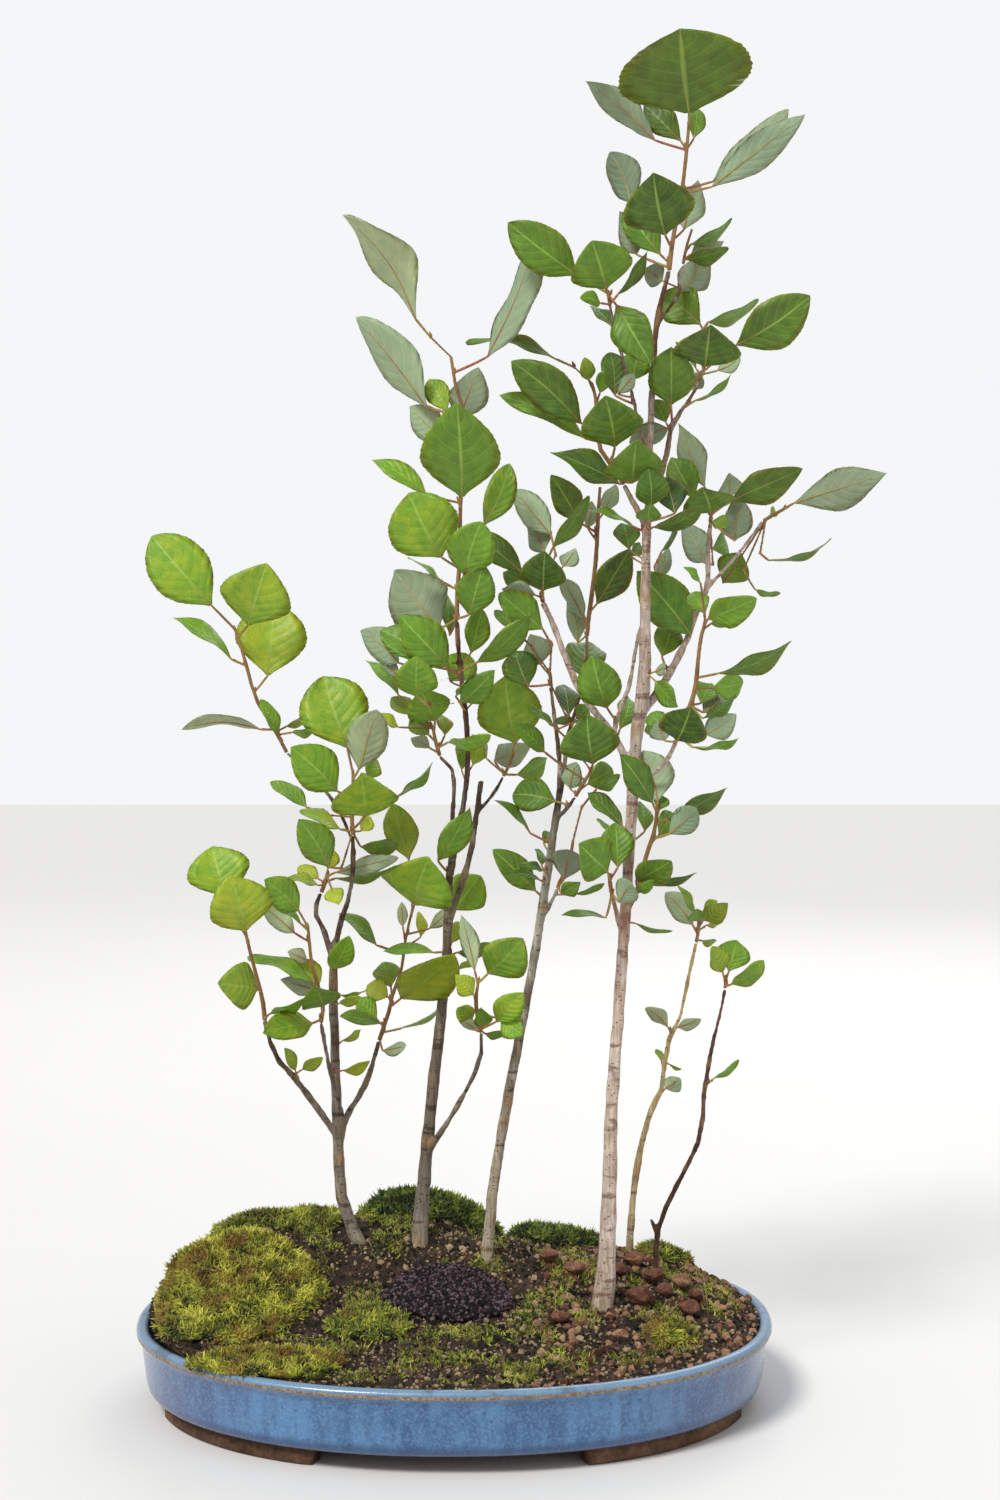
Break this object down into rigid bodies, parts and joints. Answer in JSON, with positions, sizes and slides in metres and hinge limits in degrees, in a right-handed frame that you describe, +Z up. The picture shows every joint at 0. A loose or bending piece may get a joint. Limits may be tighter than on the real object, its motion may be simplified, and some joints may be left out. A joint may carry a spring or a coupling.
{
  "type": "poplar cutting grove in a bonsai tray",
  "caption": "Rooted poplar cuttings in leaf, standing as a small grove in mossy soil in a shallow oval blue-glazed tray on low feet.",
  "frame": {"origin": "bottom centre of the bounding box: on the surface the feet stand on, midway between the outermost leaves", "axes": "+Z up along the stems, +X to the right along the tray's long axis as seen from the front, +Y to the back"},
  "size_m": [0.3744, 0.2382, 0.6702],
  "materials": {
    "tray_glaze": "gloss",
    "screen_plastic": "matte",
    "soil": "matte",
    "moss_golden": "matte",
    "moss_green": "matte",
    "dark_grit": "matte",
    "fired_clay": "matte",
    "bark_dark": "matte",
    "bark_brown": "matte",
    "bark_pale": "matte",
    "leaf_bright": "satin",
    "leaf_deep": "satin"
  },
  "bodies": {
    "root": {"tray": "tray_glaze", "drain_screen_left": "screen_plastic", "drain_screen_right": "screen_plastic", "soil_mound": "soil", "moss_cushion_left": "moss_golden", "moss_cushion_front_left": "moss_golden", "moss_bank_left": "moss_green", "moss_bank_back": "moss_green", "moss_bank_right": "moss_green", "moss_patch_front": "moss_golden", "moss_tuft_right": "moss_golden", "moss_tuft_back": "moss_golden", "grit_heap": "dark_grit", "clay_lump_1": "fired_clay", "clay_lump_2": "fired_clay", "clay_lump_3": "fired_clay", "clay_lump_4": "fired_clay", "clay_lump_5": "fired_clay", "clay_lump_6": "fired_clay", "clay_lump_7": "fired_clay", "clay_lump_8": "fired_clay", "clay_lump_9": "fired_clay", "clay_lump_10": "fired_clay", "clay_lump_11": "fired_clay", "cutting_1_stem": "bark_dark", "cutting_2_stem": "bark_brown", "cutting_3_stem": "bark_pale", "cutting_4_stem": "bark_pale", "cutting_5_stem": "bark_pale", "cutting_6_stem": "bark_dark", "cutting_1_shoot_a": "leaf_bright", "cutting_1_shoot_b": "leaf_bright", "cutting_1_shoot_c": "leaf_bright", "cutting_1_shoot_d": "leaf_bright", "cutting_1_shoot_e": "leaf_bright", "cutting_1_shoot_f": "leaf_bright", "cutting_2_shoot_a": "leaf_bright", "cutting_2_shoot_b": "leaf_bright", "cutting_2_shoot_c": "leaf_bright", "cutting_2_shoot_d": "leaf_bright", "cutting_3_shoot_a": "leaf_deep", "cutting_3_shoot_b": "leaf_deep", "cutting_3_shoot_c": "leaf_deep", "cutting_3_shoot_d": "leaf_deep", "cutting_4_shoot_a": "leaf_deep", "cutting_4_shoot_b": "leaf_deep", "cutting_4_shoot_c": "leaf_deep", "cutting_4_shoot_d": "leaf_deep", "cutting_4_shoot_e": "leaf_deep", "cutting_4_shoot_f": "leaf_deep", "cutting_4_shoot_g": "leaf_deep", "cutting_4_shoot_h": "leaf_deep", "cutting_4_shoot_i": "leaf_deep", "cutting_4_shoot_j": "leaf_deep", "cutting_4_shoot_k": "leaf_deep", "cutting_5_shoot_a": "leaf_deep", "cutting_6_shoot_a": "leaf_deep"}
  },
  "joints": []
}
